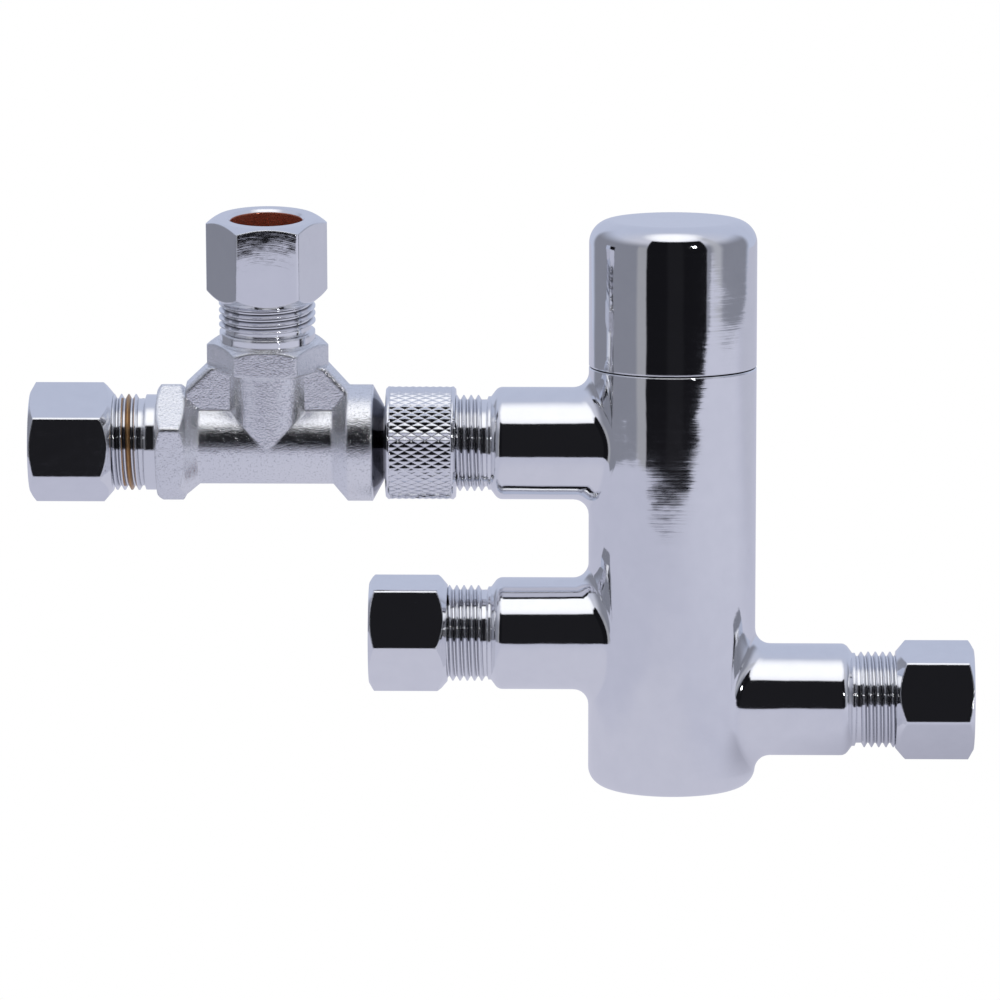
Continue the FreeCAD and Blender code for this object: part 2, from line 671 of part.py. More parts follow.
def cold_seat():
    """The disc that closes the bonnet's nose; the shuttle shuts the cold port against it."""
    spigot_r = BONNET_BORE_R - RUNNING
    spigot_flat = BONNET_BORE_FLAT - RUNNING
    top = COLD_SPIGOT_TOP_Z
    spigot = keyed_bore(spigot_r, spigot_flat, NOSE_BOTTOM_Z, top)
    spigot = spigot.cut(cylinder(spigot_flat - COLD_SEAT_SPIGOT_WALL, NOSE_BOTTOM_Z, top))
    disc = cylinder(COLD_SEAT_R, COLD_SEAT_Z, NOSE_BOTTOM_Z)
    return disc.fuse(spigot).cut(cylinder(COLD_SEAT_HOLE_R, COLD_SEAT_Z - 1, top))


BONNET_FLANGE_TOP = BONNET_SEAT_Z + BONNET_FLANGE_HEIGHT
BONNET_TOP_Z = BONNET_FLANGE_TOP + BONNET_HEX_HEIGHT
BONNET_NECK_Z = BONNET_TOP_Z - BONNET_NECK_LENGTH
STEM_COLLAR_BOTTOM = BONNET_NECK_Z - STEM_COLLAR_HEIGHT
SPINDLE_SCREW_END_Z = STEM_COLLAR_BOTTOM - SPINDLE_SCREW_LENGTH
STEM_GROOVE_Z = BONNET_NECK_Z + STEM_GROOVE_ABOVE_NECK
CARRIER_BOTTOM_Z = COLD_SPIGOT_TOP_Z + CARRIER_TRAVEL + CARRIER_FOOT_ROOM
CARRIER_TOP_Z = STEM_COLLAR_BOTTOM - CARRIER_TRAVEL - CARRIER_HEAD_ROOM
CARRIER_THREAD_Z = CARRIER_TOP_Z - CARRIER_THREAD_LENGTH
CAP_ORING_Z = (BODY_HEIGHT + BONNET_FLANGE_TOP) / 2
CAP_ORING_R = BODY_R - CAP_WALL - RUNNING - ORING_WIRE / 2
BONNET_ORING_Z = BONNET_SEAT_Z - ORING_WIRE / 2
BONNET_ORING_R = BONNET_THREAD_R - ORING_WIRE / 2


def bonnet():
    outside = turned([
        (0, NOSE_BOTTOM_Z),
        (BONNET_NOSE_R, NOSE_BOTTOM_Z),
        (BONNET_NOSE_R, SLEEVE_TOP_Z),
        (BONNET_THREAD_R, SLEEVE_TOP_Z),
        (BONNET_THREAD_R, BONNET_SEAT_Z - ORING_WIRE),
        (BONNET_THREAD_R - ORING_WIRE, BONNET_SEAT_Z - ORING_WIRE),
        (BONNET_THREAD_R - ORING_WIRE, BONNET_SEAT_Z),
        (BONNET_FLANGE_R, BONNET_SEAT_Z),
        (BONNET_FLANGE_R, BONNET_FLANGE_TOP),
        (0, BONNET_FLANGE_TOP),
    ])
    outside = outside.cut(groove(BONNET_FLANGE_R, CAP_ORING_R - ORING_WIRE / 2, CAP_ORING_Z))
    corner = BONNET_HEX_FLATS / 2 / math.cos(math.radians(30))
    hex_edges = turned([
        (0, BONNET_FLANGE_TOP),
        (corner, BONNET_FLANGE_TOP),
        (corner, BONNET_TOP_Z - 1),
        (corner - 2, BONNET_TOP_Z),
        (0, BONNET_TOP_Z),
    ])
    head = hexagon(BONNET_HEX_FLATS, BONNET_FLANGE_TOP, BONNET_TOP_Z).common(hex_edges)
    carrier_bore = keyed_bore(BONNET_BORE_R, BONNET_BORE_FLAT, NOSE_BOTTOM_Z - 1, BONNET_NECK_Z)
    stem_bore = cylinder(STEM_R + RUNNING, BONNET_NECK_Z - 1, BONNET_TOP_Z + 1)
    return outside.fuse(head).cut(carrier_bore).cut(stem_bore)


CIRCLIP_Z = BONNET_TOP_Z + RUNNING
STEM_TOP_Z = BONNET_TOP_Z + STEM_HEAD_HEIGHT
STEM_ORING_R = STEM_R - ORING_WIRE / 2


def adjusting_spindle():
    """The screw that raises and lowers the carrier, with a hexagon head and key socket."""
    shaft = turned([
        (0, SPINDLE_SCREW_END_Z),
        (SPINDLE_SCREW_R - 0.6, SPINDLE_SCREW_END_Z),
        (SPINDLE_SCREW_R, SPINDLE_SCREW_END_Z + 0.6),
        (SPINDLE_SCREW_R, STEM_COLLAR_BOTTOM),
        (STEM_COLLAR_R, STEM_COLLAR_BOTTOM),
        (STEM_COLLAR_R, BONNET_NECK_Z - RUNNING),
        (STEM_R, BONNET_NECK_Z - RUNNING),
        (STEM_R, CIRCLIP_Z + CIRCLIP_THICKNESS + 1),
        (0, CIRCLIP_Z + CIRCLIP_THICKNESS + 1),
    ])
    shaft = shaft.cut(groove(STEM_R, STEM_R - ORING_WIRE, STEM_GROOVE_Z))
    clip_top = CIRCLIP_Z + CIRCLIP_THICKNESS
    shaft = shaft.cut(tube(STEM_R + 1, STEM_R - CIRCLIP_DEPTH, CIRCLIP_Z, clip_top))
    head_low = CIRCLIP_Z + CIRCLIP_THICKNESS + 1
    head = hexagon(STEM_HEAD_FLATS, head_low, STEM_TOP_Z)
    corner = STEM_HEAD_FLATS / 2 / math.cos(math.radians(30))
    head = head.common(turned([
        (0, head_low),
        (corner, head_low),
        (corner, STEM_TOP_Z - 0.7),
        (corner - 1.2, STEM_TOP_Z),
        (0, STEM_TOP_Z),
    ]))
    socket = hexagon(STEM_SOCKET_FLATS, STEM_TOP_Z - STEM_SOCKET_DEPTH, STEM_TOP_Z + 1)
    return shaft.fuse(head).cut(socket)


def open_ring(outer, inner, low, high, gap):
    """A spring ring with a gap, which opens over its groove."""
    ring = tube(outer, inner, low, high)
    return ring.cut(block(outer, 2 * outer, 0, gap, low - 1, high + 1))


def spindle_circlip():
    inner = STEM_R - CIRCLIP_DEPTH
    return open_ring(CIRCLIP_R, inner, CIRCLIP_Z, CIRCLIP_Z + CIRCLIP_THICKNESS, CIRCLIP_GAP)


RETAINING_RING_Z = CARRIER_BOTTOM_Z + RETAINING_RING_SETBACK
PLUNGER_Z = RETAINING_RING_Z + RETAINING_RING_THICKNESS


def regulating_carrier():
    """The keyed nut on the spindle's screw, which holds the overload spring and plunger."""
    outside = keyed_bore(CARRIER_R, CARRIER_FLAT, CARRIER_BOTTOM_Z, CARRIER_TOP_Z)
    chamber = cylinder(CARRIER_BORE_R, CARRIER_BOTTOM_Z - 1, CARRIER_THREAD_Z)
    thread = cylinder(SPINDLE_SCREW_R + RUNNING, CARRIER_THREAD_Z - 1, CARRIER_TOP_Z + 1)
    return outside.cut(chamber).cut(thread)


def plunger_retaining_ring():
    top = RETAINING_RING_Z + RETAINING_RING_THICKNESS
    return tube(RETAINING_RING_R, RETAINING_RING_HOLE_R, RETAINING_RING_Z, top)


def overload_plunger():
    """The sprung pad that the push rod bears on, standing on the retaining ring."""
    head_top = PLUNGER_Z + PLUNGER_HEAD_HEIGHT
    stem_bottom = ROD_TOP_Z - PLUNGER_SOCKET_DEPTH
    pad = turned([
        (0, stem_bottom),
        (PLUNGER_STEM_R, stem_bottom),
        (PLUNGER_STEM_R, PLUNGER_Z),
        (PLUNGER_R, PLUNGER_Z),
        (PLUNGER_R, head_top),
        (PLUNGER_STEM_R - 0.4, head_top),
        (PLUNGER_STEM_R - 0.4, head_top + PLUNGER_STEM_HEIGHT),
        (0, head_top + PLUNGER_STEM_HEIGHT),
    ])
    return pad.cut(cylinder(ROD_R, stem_bottom - 1, ROD_TOP_Z))


def overload_spring():
    low = PLUNGER_Z + PLUNGER_HEAD_HEIGHT
    return coil(OVERLOAD_SPRING_R, OVERLOAD_SPRING_WIRE, OVERLOAD_SPRING_TURNS, low, CARRIER_THREAD_Z)


# Check valves and strainers, made along +Z with the pipe at the far end

CHECK_END = CHECK_START + CHECK_LENGTH
CHECK_BORE_R = CHECK_R - CHECK_WALL
POPPET_END = CHECK_END - CHECK_SEAT_THICKNESS
POPPET_BACK = POPPET_END - POPPET_THICKNESS
SPIDER_END = CHECK_START + CHECK_SPIDER_THICKNESS


def check_housing():
    shell = tube(CHECK_R, CHECK_BORE_R, CHECK_START, CHECK_END)
    seat = tube(CHECK_R - CHECK_WALL / 2, CHECK_SEAT_R, POPPET_END, CHECK_END)
    hub = cylinder(CHECK_SPIDER_HUB_R, CHECK_START, SPIDER_END)
    reach = CHECK_R - CHECK_WALL / 2
    arm = block(reach / 2, reach, 0, CHECK_SPIDER_ARM, CHECK_START, SPIDER_END)
    whole = shell.fuse(seat).fuse(hub).fuse(around(arm, 3))
    return whole.cut(cylinder(CHECK_SPIDER_HOLE_R, CHECK_START - 1, SPIDER_END + 1))


def check_poppet():
    return turned([
        (0, CHECK_START - POPPET_STEM_PAST_HUB),
        (POPPET_STEM_R, CHECK_START - POPPET_STEM_PAST_HUB),
        (POPPET_STEM_R, POPPET_BACK),
        (POPPET_R, POPPET_BACK),
        (POPPET_R, POPPET_END - RUNNING),
        (CHECK_SEAT_R - SLACK, POPPET_END - RUNNING),
        (CHECK_SEAT_R - 1.4, CHECK_END - SLACK),
        (0, CHECK_END - SLACK),
    ])


def check_spring():
    return coil(CHECK_SPRING_R, CHECK_SPRING_WIRE, CHECK_SPRING_TURNS, SPIDER_END, POPPET_BACK)


def strainer():
    """A shallow perforated cup that stands on the check valve."""
    low = CHECK_END
    cup = tube(STRAINER_R, STRAINER_R - STRAINER_RIM, low, low + STRAINER_DEPTH)
    floor = cylinder(STRAINER_R - STRAINER_RIM / 2, low + STRAINER_DEPTH - STRAINER_FLOOR,
                     low + STRAINER_DEPTH)
    whole = cup.fuse(floor)
    holes = [cylinder(STRAINER_HOLE_R, low, low + STRAINER_DEPTH + 1)]
    for ring, count in ((2.1, 6), (4.2, 12)):
        for i in range(count):
            hole = cylinder(STRAINER_HOLE_R, low, low + STRAINER_DEPTH + 1)
            hole.translate(FreeCAD.Vector(ring, 0, 0))
            holes.append(spun(hole, 360 * i / count))
    return whole.cut(holes[0].multiFuse(holes[1:]))


# Tee, made upright with the crossing at the origin

def hex_collar(low, length, cone_r):
    """A hexagonal collar along +Z, chamfered at both ends."""
    corner = TEE_HEX_FLATS / 2 / math.cos(math.radians(30))
    high = low + length
    edges = turned([
        (0, low),
        (cone_r, low),
        (corner, low + TEE_HEX_CHAMFER),
        (corner, high - TEE_HEX_CHAMFER),
        (TEE_HEX_FACE_R, high),
        (0, high),
    ])
    return hexagon_bar(TEE_HEX_FLATS, TEE_HEX_CORNER_R, low, high).common(edges)


TEE_RUN_LAND_START = TEE_RUN_HEX_START + TEE_RUN_HEX_LENGTH
TEE_RUN_LAND_END = TEE_RUN_LAND_START + TEE_RUN_LAND_LENGTH
TEE_RUN_END = TEE_RUN_LAND_END + TEE_RUN_THREAD_SHOWN + NUT_ENGAGED
TEE_BRANCH_LAND_START = TEE_BRANCH_HEX_START + TEE_BRANCH_HEX_LENGTH
TEE_BRANCH_LAND_END = TEE_BRANCH_LAND_START + TEE_BRANCH_LAND_LENGTH
TEE_BRANCH_END = TEE_BRANCH_LAND_END + TEE_BRANCH_THREAD_SHOWN + NUT_ENGAGED
WASHER_START = COLD_END + RUNNING
TAIL_START = WASHER_START + UNION_WASHER_THICKNESS
TAIL_END = -TEE_X - TAIL_START
FLANGE_END = TEE_FLANGE_START + TEE_FLANGE_LENGTH


def tee_end(land_start, land_end, end):
    """A land, then the core of a thread, along +Z."""
    return turned([
        (0, 0),
        (TEE_BARREL_R, 0),
        (TEE_BARREL_R, land_start - 1),
        (TEE_LAND_R, land_start - 1),
        (TEE_LAND_R, land_end - SPLIT_CHAMFER),
        (THREAD_ROOT_R, land_end),
        (THREAD_ROOT_R, end),
        (0, end),
    ])


def tee_web(side, outer):
    """The slanting gusset in a corner between the branch and the run, on one side."""
    inner = TEE_BARREL_R - 2
    top = TEE_BRANCH_HEX_START + TEE_HEX_CHAMFER
    points = [
        (inner, inner),
        (TEE_RUN_HEX_START, inner),
        (TEE_RUN_HEX_START, outer),
        (TEE_HEX_FLATS / 2 + 1.4, top),
        (inner, top),
    ]
    outline = [FreeCAD.Vector(side * x, -TEE_WEB_THICKNESS / 2, z) for x, z in points]
    face = Part.Face(Part.makePolygon(outline + outline[:1]))
    web = face.extrude(FreeCAD.Vector(0, TEE_WEB_THICKNESS, 0))
    slope = [
        e for e in web.Edges
        if e.BoundBox.YLength < 0.01 and e.BoundBox.XLength > 0.5 and e.BoundBox.ZLength > 0.5
    ]
    return web.makeFillet(TEE_WEB_EDGE_R, slope)


def tee_tail():
    """The right end of the run along +Z: flange, then the tail that the union nut holds."""
    flange_foot = TEE_FLANGE_START - TEE_FLANGE_CONE_LENGTH
    ring_low = TAIL_END - TAIL_RING_SETBACK - SNAP_RING_THICKNESS - 2 * RUNNING
    ring_high = TAIL_END - TAIL_RING_SETBACK
    return turned([
        (0, 0),
        (TEE_BARREL_R, 0),
        (TEE_BARREL_R, flange_foot),
        (TEE_FLANGE_R, TEE_FLANGE_START),
        (TEE_FLANGE_R, FLANGE_END),
        (TEE_FLANGE_END_R, FLANGE_END + TEE_FLANGE_END_LENGTH),
        (TAIL_R, FLANGE_END + TEE_FLANGE_END_LENGTH),
        (TAIL_R, ring_low),
        (TAIL_R - SNAP_RING_DEPTH, ring_low),
        (TAIL_R - SNAP_RING_DEPTH, ring_high),
        (TAIL_R, ring_high),
        (TAIL_R, TAIL_END),
        (0, TAIL_END),
    ])


def tee_body():
    run_cone = turned([
        (0, 0),
        (TEE_BARREL_R, TEE_RUN_HEX_START - TEE_RUN_CONE_LENGTH),
        (TEE_RUN_CONE_R, TEE_RUN_HEX_START),
        (0, TEE_RUN_HEX_START),
    ])
    run_hex = hex_collar(TEE_RUN_HEX_START, TEE_RUN_HEX_LENGTH, TEE_RUN_CONE_R)
    run_hex = spun(run_hex, TEE_RUN_HEX_TURN)
    left = tee_end(TEE_RUN_LAND_START, TEE_RUN_LAND_END, TEE_RUN_END)
    left = left.fuse(run_cone).fuse(run_hex)
    branch_hex = hex_collar(TEE_BRANCH_HEX_START, TEE_BRANCH_HEX_LENGTH, TEE_BARREL_R + 1)
    branch = tee_end(TEE_BRANCH_LAND_START, TEE_BRANCH_LAND_END, TEE_BRANCH_END)
    branch = branch.fuse(branch_hex)
    pieces = [
        to_right(tee_tail(), 0),
        branch,
        tee_web(-1, TEE_RUN_CONE_R + 1.6),
        tee_web(1, TEE_FLANGE_R - 0.4),
    ]
    outside = to_left(left, 0).multiFuse(pieces)
    bore = cylinder(TEE_BORE_R, 0, TEE_RUN_END).fuse(spigot_bore(TEE_RUN_END))
    branch_bore = cylinder(TEE_BORE_R, 0, TEE_BRANCH_END).fuse(spigot_bore(TEE_BRANCH_END))
    tail_bore = cylinder(TEE_BORE_R, 0, TAIL_END + 1)
    waterway = to_left(bore, 0).multiFuse([branch_bore, to_right(tail_bore, 0)])
    return leaned(outside.cut(waterway))


# Union, made along +Z with distances from the body's axis

RING_START = TAIL_START + TAIL_RING_SETBACK + RUNNING
RING_END = RING_START + SNAP_RING_THICKNESS


def union_snap_ring():
    inner = TAIL_R - SNAP_RING_DEPTH + RUNNING
    return open_ring(SNAP_RING_R, inner, RING_START, RING_END, SNAP_RING_GAP)


def union_washer():
    return tube(UNION_WASHER_R, TEE_BORE_R, WASHER_START, TAIL_START)


def union_nut():
    """The round union nut: thread core, then a wall that bears on the snap ring."""
    low = UNION_NUT_START
    high = low + UNION_NUT_LENGTH
    shoulder = RING_END + 2 * RUNNING
    return turned([
        (THREAD_ROOT_R + RUNNING, low),
        (UNION_NUT_R - UNION_NUT_CHAMFER, low),
        (UNION_NUT_R, low + UNION_NUT_CHAMFER),
        (UNION_NUT_R, high - UNION_NUT_CHAMFER),
        (UNION_NUT_R - UNION_NUT_CHAMFER, high),
        (TAIL_R + RUNNING, high),
        (TAIL_R + RUNNING, shoulder),
        (THREAD_ROOT_R + RUNNING, shoulder),
    ])


def oriented_nut(spigot_end, length, turn):
    """A compression nut for a horizontal spigot, with one flat turned up from the front."""
    return spun(compression_nut(spigot_end, length), turn)


def make_parts():
    parts = {
        "valve_body": valve_body(),
        "cover_cap": cover_cap(),
        "cartridge_sleeve": cartridge_sleeve(),
        "hot_seat_tube": hot_seat_tube(),
        "shuttle_piston": shuttle_piston(),
        "shuttle_oring": oring(SHUTTLE_GROOVE_R + ORING_WIRE / 2, SHUTTLE_MIDDLE_Z),
        "wax_element": wax_element(),
        "element_push_rod": element_push_rod(),
        "return_spring": return_spring(),
        "cold_seat": cold_seat(),
        "bonnet": bonnet(),
        "bonnet_oring": oring(BONNET_ORING_R, BONNET_ORING_Z),
        "cap_oring": oring(CAP_ORING_R, CAP_ORING_Z),
        "adjusting_spindle": adjusting_spindle(),
        "spindle_oring": oring(STEM_ORING_R, STEM_GROOVE_Z),
        "spindle_circlip": spindle_circlip(),
        "regulating_carrier": regulating_carrier(),
        "plunger_retaining_ring": plunger_retaining_ring(),
        "overload_plunger": overload_plunger(),
        "overload_spring": overload_spring(),
        "hot_nut": to_left(oriented_nut(HOT_END, VALVE_NUT_LENGTH, HOT_NUT_TURN), HOT_Z),
        "hot_olive": to_left(olive(HOT_END), HOT_Z),
        "outlet_nut": to_right(
            oriented_nut(OUTLET_END, VALVE_NUT_LENGTH, -OUTLET_NUT_TURN), OUTLET_Z),
        "outlet_olive": to_right(olive(OUTLET_END), OUTLET_Z),
        "tee_body": tee_body(),
        "tee_end_nut": leaned(to_left(
            oriented_nut(TEE_RUN_END, TEE_NUT_LENGTH, TEE_RUN_NUT_TURN), 0)),
        "tee_end_olive": leaned(to_left(olive(TEE_RUN_END), 0)),
        "tee_top_nut": leaned(spun(
            compression_nut(TEE_BRANCH_END, TEE_NUT_LENGTH), TEE_BRANCH_NUT_TURN)),
        "tee_top_olive": leaned(olive(TEE_BRANCH_END)),
        "union_nut": to_left(union_nut(), COLD_Z),
        "union_snap_ring": to_left(union_snap_ring(), COLD_Z),
        "union_washer": to_left(union_washer(), COLD_Z),
    }
    parts.update(sleeve_orings())
    for name, height in (("cold", COLD_Z), ("hot", HOT_Z)):
        parts[name + "_check_housing"] = to_left(check_housing(), height)
        parts[name + "_check_poppet"] = to_left(check_poppet(), height)
        parts[name + "_check_spring"] = to_left(check_spring(), height)
        parts[name + "_strainer"] = to_left(strainer(), height)
    return parts


os.makedirs("parts", exist_ok=True)
for node, shape in make_parts().items():
    shape.exportStep("parts/" + node + ".step")
    print(node, len(shape.Solids), shape.isValid(), round(shape.Volume, 1))
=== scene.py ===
import math

import bmesh
import bpy
from mathutils import Matrix, Vector


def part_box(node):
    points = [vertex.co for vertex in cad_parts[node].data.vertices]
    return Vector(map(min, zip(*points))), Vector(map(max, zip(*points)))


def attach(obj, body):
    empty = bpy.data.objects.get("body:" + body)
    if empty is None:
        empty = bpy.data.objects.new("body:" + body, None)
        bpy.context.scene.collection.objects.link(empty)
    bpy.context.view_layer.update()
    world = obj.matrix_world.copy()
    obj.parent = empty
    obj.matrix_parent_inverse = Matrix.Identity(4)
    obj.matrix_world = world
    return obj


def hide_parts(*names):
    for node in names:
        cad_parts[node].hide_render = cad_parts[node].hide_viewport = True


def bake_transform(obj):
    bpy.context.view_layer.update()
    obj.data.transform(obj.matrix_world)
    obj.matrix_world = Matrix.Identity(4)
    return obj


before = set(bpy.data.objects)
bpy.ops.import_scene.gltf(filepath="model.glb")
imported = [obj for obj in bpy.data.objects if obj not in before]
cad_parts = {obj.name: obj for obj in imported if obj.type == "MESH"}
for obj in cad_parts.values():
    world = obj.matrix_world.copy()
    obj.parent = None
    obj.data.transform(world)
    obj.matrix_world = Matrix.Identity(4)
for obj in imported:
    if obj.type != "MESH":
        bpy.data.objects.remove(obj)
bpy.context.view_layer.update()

MM = 0.001
DEGREES = 180 / math.pi

# Places on the valve, in millimetres, the first few taken from its solids


def node_box(name):
    low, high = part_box(name)
    return [v / MM for v in low], [v / MM for v in high]


def middle_height(name):
    low, high = node_box(name)
    return (low[2] + high[2]) / 2


COLD_Z = middle_height("union_nut")
HOT_Z = middle_height("hot_nut")
OUTLET_Z = middle_height("outlet_nut")
SPLIT_Z = node_box("cover_cap")[0][2]

BODY_R = 18.25
BOSS_FLAT = 0.65
NUT_MOUTH_R = 7.8
FACE_SWELL = 1.8

THREAD_PITCH = 25.4 / 16
THREAD_CREST_R = 10.48
THREAD_ROOT_R = THREAD_CREST_R - 0.617 * THREAD_PITCH
THREAD_START = 39.9
COLD_END = 53.55
HOT_END = 53.466
OUTLET_END = 53.366

RIDGE_STEPS = 96
RIDGE_SUNK = 0.05
RIDGE_FLANK = THREAD_PITCH * 0.44
RIDGE_CREST = THREAD_PITCH * 0.07
RIDGE_RUN_IN_TURNS = 0.5

TEE_X = -88.1
TEE_LEAN = math.radians(6)
RIDGE_OVER_LAND = 0.4
TEE_END_THREAD_START = 26.9 - RIDGE_OVER_LAND
TEE_END_THREAD_END = 38.166
TEE_TOP_THREAD_START = 25.5 - RIDGE_OVER_LAND
TEE_TOP_THREAD_END = 36.566
TOP_NUT_MIDDLE = (middle_height("tee_top_nut") - COLD_Z) / math.cos(TEE_LEAN)

UNION_NUT_R = 12.3
UNION_CHAMFER = 0.5
UNION_BORE_R = 9.52
UNION_LIP_R = 8.15
UNION_LIP = 2.6
KNURL_FROM_LOW_END = 0.9
KNURL_FROM_HIGH_END = 0.75
KNURL_CROSSING = 1.36
KNURL_ROUND = 48
KNURL_STEP = 2.95
KNURL_DEPTH = 0.29
KNURL_PARTS = 8

# How far edges are buffed round and how deep the plating's waves are, in metres

NUT_EDGE = 0.00045
BODY_EDGE = 0.00045
UNION_EDGE = 0.00025
THREAD_EDGE = 0.00022
CASTING_EDGE = 0.0009
SWELL_DEPTH = 0.00016
WAVE_DEPTH = 0.00003
BODY_WAVE_DEPTH = 0.000008
MOP_DEPTH = 0.000012
BODY_MARK_DEPTH = 0.000009
BOW_DEPTH = 0.000015
CAST_GRAIN_DEPTH = 0.00014
FINE_GRAIN_DEPTH = 0.00003

# Where the casting's turned ends begin, and where the painted shade past its flange lies, from
# the tee's middle, in metres

TURNED_END = (0.0240, 0.0244)
TURNED_TOP = (0.0229, 0.0233)
TURNED_FLANGE = (0.0227, 0.0229)
FLANGE_SHADOW = (0.0231, 0.0262)

# Colours of the metals, from light to dark, and tones of painted shade

PLATING = (0.885, 0.89, 0.905), (0.82, 0.828, 0.85)
CASTING = (0.87, 0.875, 0.885), (0.70, 0.71, 0.73)
CASTING_SHADOW = (0.30, 0.30, 0.32)
SPLIT_PAINTED_SHADE = (0.06, 0.06, 0.065)
BORE_METAL = (0.88, 0.38, 0.24), (0.50, 0.13, 0.07)
WORN_METAL = (0.62, 0.38, 0.17), (0.36, 0.19, 0.075)
BODY_GROOVE_SHADE = (0.60, 0.605, 0.63)
TEE_END_GROOVE_SHADE = (0.48, 0.485, 0.51)
TEE_TOP_GROOVE_SHADE = (0.32, 0.325, 0.345)


class Wire:
    """A value, colour or direction that comes out of a node."""

    def __init__(self, finish, socket):
        self.finish = finish
        self.socket = socket

    def math(self, operation, *others):
        return self.finish.math(operation, self, *others)

    def __add__(self, other):
        return self.math("ADD", other)

    __radd__ = __add__

    def __sub__(self, other):
        return self.math("SUBTRACT", other)

    def __rsub__(self, other):
        return self.finish.math("SUBTRACT", other, self)

    def __mul__(self, other):
        return self.math("MULTIPLY", other)

    __rmul__ = __mul__

    def __truediv__(self, other):
        return self.math("DIVIDE", other)

    def rise(self, low, high):
        """0 below low, 1 above high, and smooth between them."""
        return self.finish.node(
            "MapRange", {"interpolation_type": "SMOOTHSTEP"},
            {"Value": self, "From Min": low, "From Max": high})

    def between(self, low, high, edge):
        return self.rise(low - edge, low + edge) * (1 - self.rise(high - edge, high + edge))


class Finish:
    """The nodes of a material or of the studio's light."""

    def __init__(self, owner):
        owner.use_nodes = True
        self.owner = owner
        self.tree = owner.node_tree
        self.tree.nodes.clear()

    def node(self, kind, settings=None, inputs=None, output=0):
        made = self.tree.nodes.new("ShaderNode" + kind)
        for name, value in (settings or {}).items():
            setattr(made, name, value)
        for name, value in (inputs or {}).items():
            socket = made.inputs[name]
            if isinstance(value, Wire):
                self.tree.links.new(value.socket, socket)
            else:
                socket.default_value = value
        return Wire(self, made.outputs[output])

    def math(self, operation, *values):
        return self.node("Math", {"operation": operation}, dict(enumerate(values)))

    def mix(self, first, second, share):
        """The first colour where share is 0, the second where it is 1."""
        full = [c if isinstance(c, Wire) or len(c) == 4 else (*c, 1) for c in (first, second)]
        return self.node(
            "Mix", {"data_type": "RGBA"}, {0: share, 6: full[0], 7: full[1]}, output=2)

    def place(self):
        """Where a point of the surface is, in metres on the assembled valve."""
        return self.node("TexCoord", output="Object")

    def split(self, vector):
        made = self.tree.nodes.new("ShaderNodeSeparateXYZ")
        self.tree.links.new(vector.socket, made.inputs[0])
        return [Wire(self, out) for out in made.outputs]

    def stretched(self, vector, scale):
        return self.node("Mapping", {}, {"Vector": vector, "Scale": scale})

    def joined(self, x, y, z):
        return self.node("CombineXYZ", {}, {0: x, 1: y, 2: z})

    def noise(self, vector, scale, detail=2.0, roughness=0.5):
        return self.node("TexNoise", {}, {
            "Vector": vector, "Scale": scale, "Detail": detail, "Roughness": roughness})

    def rounded(self, radius):
        """The surface's direction as if its edges were rounded to this radius."""
        return self.node("Bevel", {"samples": 6}, {"Radius": radius})

    def bump(self, height, strength, distance, normal=None):
        inputs = {"Height": height, "Strength": strength, "Distance": distance}
        if normal:
            inputs["Normal"] = normal
        return self.node("Bump", {}, inputs)

    def end(self, shader):
        out = self.tree.nodes.new("ShaderNodeOutput" + self.out)
        self.tree.links.new(shader.socket, out.inputs["Surface"])


class Material(Finish):
    out = "Material"

    def __init__(self, name):
        super().__init__(bpy.data.materials.new(name))

    def surface(self, **sockets):
        """The surface itself; names such as base_color stand for the sockets."""
        inputs = {name.replace("_", " ").title().replace("Ior", "IOR"): value
                  for name, value in sockets.items()}
        self.end(self.node("BsdfPrincipled", {}, inputs))
        return self.owner


class Studio(Finish):
    out = "World"

    def __init__(self, name):
        super().__init__(bpy.data.worlds.new(name))


# Where a point lies on the valve


def far_from_middle(m, at):
    """1 on the bosses and beyond them, 0 on the round body and its cap."""
    x, y, z = m.split(at)
    return x.math("ABSOLUTE").rise((BODY_R - 0.6) * MM, (BODY_R + 1.2) * MM)


def from_axis(m, at, seat_z, upright=False):
    """How far a point is from the axis of a nut or a spigot."""
    x, y, z = m.split(at)
    first, second = y, z - seat_z * MM
    if upright:
        first, second = x - TEE_X * MM, y * math.cos(TEE_LEAN) + second * math.sin(TEE_LEAN)
    return (first * first + second * second).math("SQRT")


def along_tee(m, at):
    """How far a point is out along the tee's run, to the left, and along its branch."""
    x, y, z = m.split(at)
    lift = z - COLD_Z * MM
    return TEE_X * MM - x, lift * math.cos(TEE_LEAN) - y * math.sin(TEE_LEAN)


# Polishing marks: a pattern and its depth


def mop_marks(m, at):
    """Marks that run round a piece whose axis lies along X."""
    return m.noise(m.stretched(at, (2400.0, 60.0, 60.0)), 1.0, 2.0, 0.6), MOP_DEPTH


def body_marks(m, at):
    """Level marks round the upright body and cap, and marks round the bosses."""
    x, y, z = m.split(at)
    level = m.noise(m.stretched(at, (26.0, 26.0, 1700.0)), 1.0, 3.0, 0.65)
    level = level * (0.25 + 0.75 * x.rise(-8 * MM, -3 * MM))
    side = far_from_middle(m, at)
    return level * (1 - side) + mop_marks(m, at)[0] * side, BODY_MARK_DEPTH


def bowed_marks(m, at):
    """Marks in bows over the faces of the upright nut."""
    x, y, z = m.split(at)
    run, branch = along_tee(m, at)
    side = x - TEE_X * MM
    lift = branch - (TOP_NUT_MIDDLE - 14) * MM
    bow = (side * side + lift * lift).math("SQRT")
    return m.noise(m.joined(bow * 3500.0, side * 120.0, y * 120.0), 1.0, 3.0, 0.6), BOW_DEPTH


# Buffed forms: a height and where it holds


